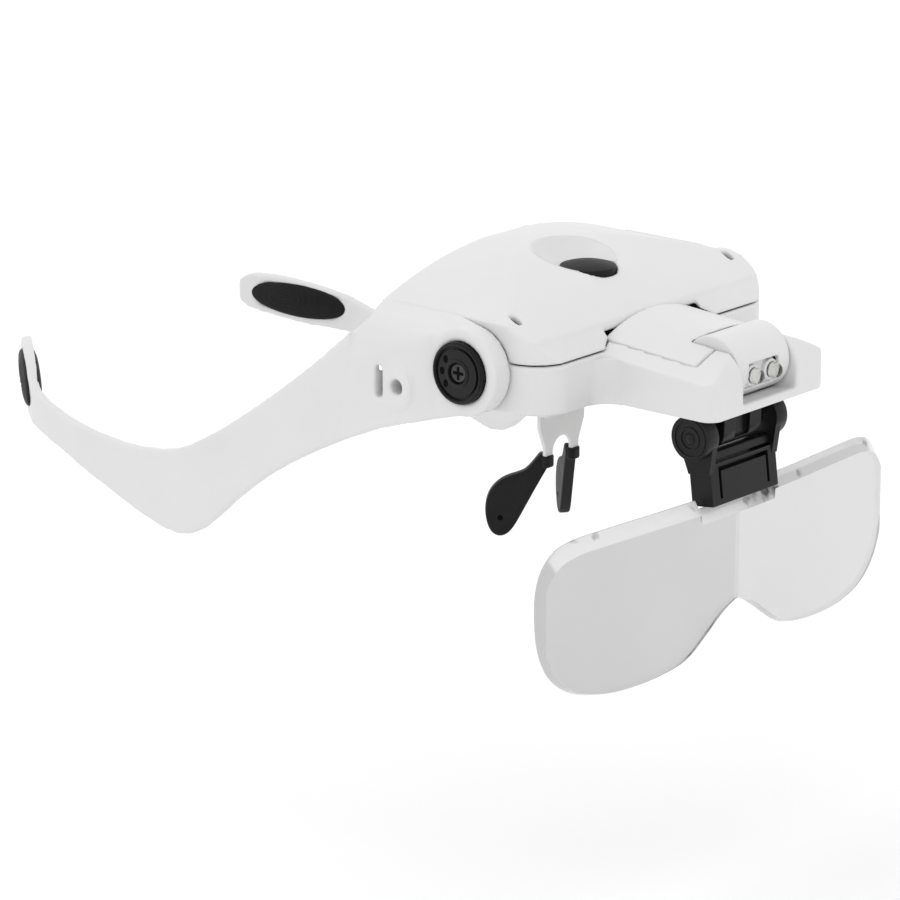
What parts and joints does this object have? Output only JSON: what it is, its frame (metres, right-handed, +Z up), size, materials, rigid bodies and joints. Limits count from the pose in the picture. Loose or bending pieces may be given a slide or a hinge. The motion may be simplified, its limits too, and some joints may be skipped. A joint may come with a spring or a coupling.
{
  "type": "lighted headband magnifier",
  "caption": "Head-worn magnifier with side temples, a lens plate that flips up, a tilting lamp, a power button and a nose rest.",
  "frame": {"origin": "midway between the two temple hubs, on the axis the temples turn about", "axes": "+Z up, +Y back towards the wearer's ears, +X towards the wearer's left, so the lens is at the -Y end"},
  "size_m": [0.1472, 0.2253, 0.1009],
  "materials": {
    "white_shell": "satin",
    "black_plastic": "satin",
    "black_rubber": "matt",
    "nose_frame": "satin",
    "clear_lens": "clear and polished",
    "lamp_resin": "clear",
    "steel": "plated",
    "cell_steel": "satin",
    "contact_brass": "satin",
    "board_green": "lacquered",
    "switch_plastic": "matt"
  },
  "bodies": {
    "visor": {"lower_housing": "white_shell", "top_cover": "white_shell", "switch_body": "switch_plastic", "circuit_board": "board_green", "battery_cells": "cell_steel", "battery_contacts": "contact_brass", "hinge_block": "black_plastic", "hinge_pin": "steel", "nose_bridge": "nose_frame", "nose_pad_left": "black_rubber", "nose_pad_right": "black_rubber", "hub_cap_left": "black_plastic", "hub_cap_right": "black_plastic", "pivot_screws": "steel", "housing_screws": "steel"},
    "door": {"battery_door": "white_shell"},
    "button": {"power_button": "black_rubber"},
    "lamp": {"lamp_barrel": "white_shell", "led_lamps": "lamp_resin", "led_board": "board_green"},
    "holder": {"lens_holder": "black_plastic"},
    "lens": {"lens_plate": "clear_lens"},
    "left_temple": {"temple_left": "white_shell", "ear_pad_left": "black_rubber"},
    "right_temple": {"temple_right": "white_shell", "ear_pad_right": "black_rubber"}
  },
  "joints": [
    {"name": "temple_left_tilt", "type": "hinge", "parent": "visor", "child": "left_temple", "pos_m": [0, 0, 0], "axis": [1, 0, 0], "range_deg": [-10, 25]},
    {"name": "temple_right_tilt", "type": "hinge", "parent": "visor", "child": "right_temple", "pos_m": [0, 0, 0], "axis": [1, 0, 0], "range_deg": [-10, 25]},
    {"name": "button_press", "type": "slide", "parent": "visor", "child": "button", "axis": [0, 0, -1], "range_m": [0, 0.001], "stiffness_N_per_m": 600, "springref_m": -0.001},
    {"name": "lamp_tilt", "type": "hinge", "parent": "visor", "child": "lamp", "pos_m": [0, -0.046, -0.0005], "axis": [1, 0, 0], "range_deg": [-15, 15]},
    {"name": "lens_flip", "type": "hinge", "parent": "visor", "child": "holder", "pos_m": [0, -0.044, -0.018], "axis": [-1, 0, 0], "range_deg": [0, 90]},
    {"name": "lens_slide", "type": "slide", "parent": "holder", "child": "lens", "axis": [0, -0.1219, -0.9925], "range_m": [0, 0.008]},
    {"name": "door_lift", "type": "slide", "parent": "visor", "child": "door", "axis": [0, 0, 1], "range_m": [0, 0.008]}
  ]
}
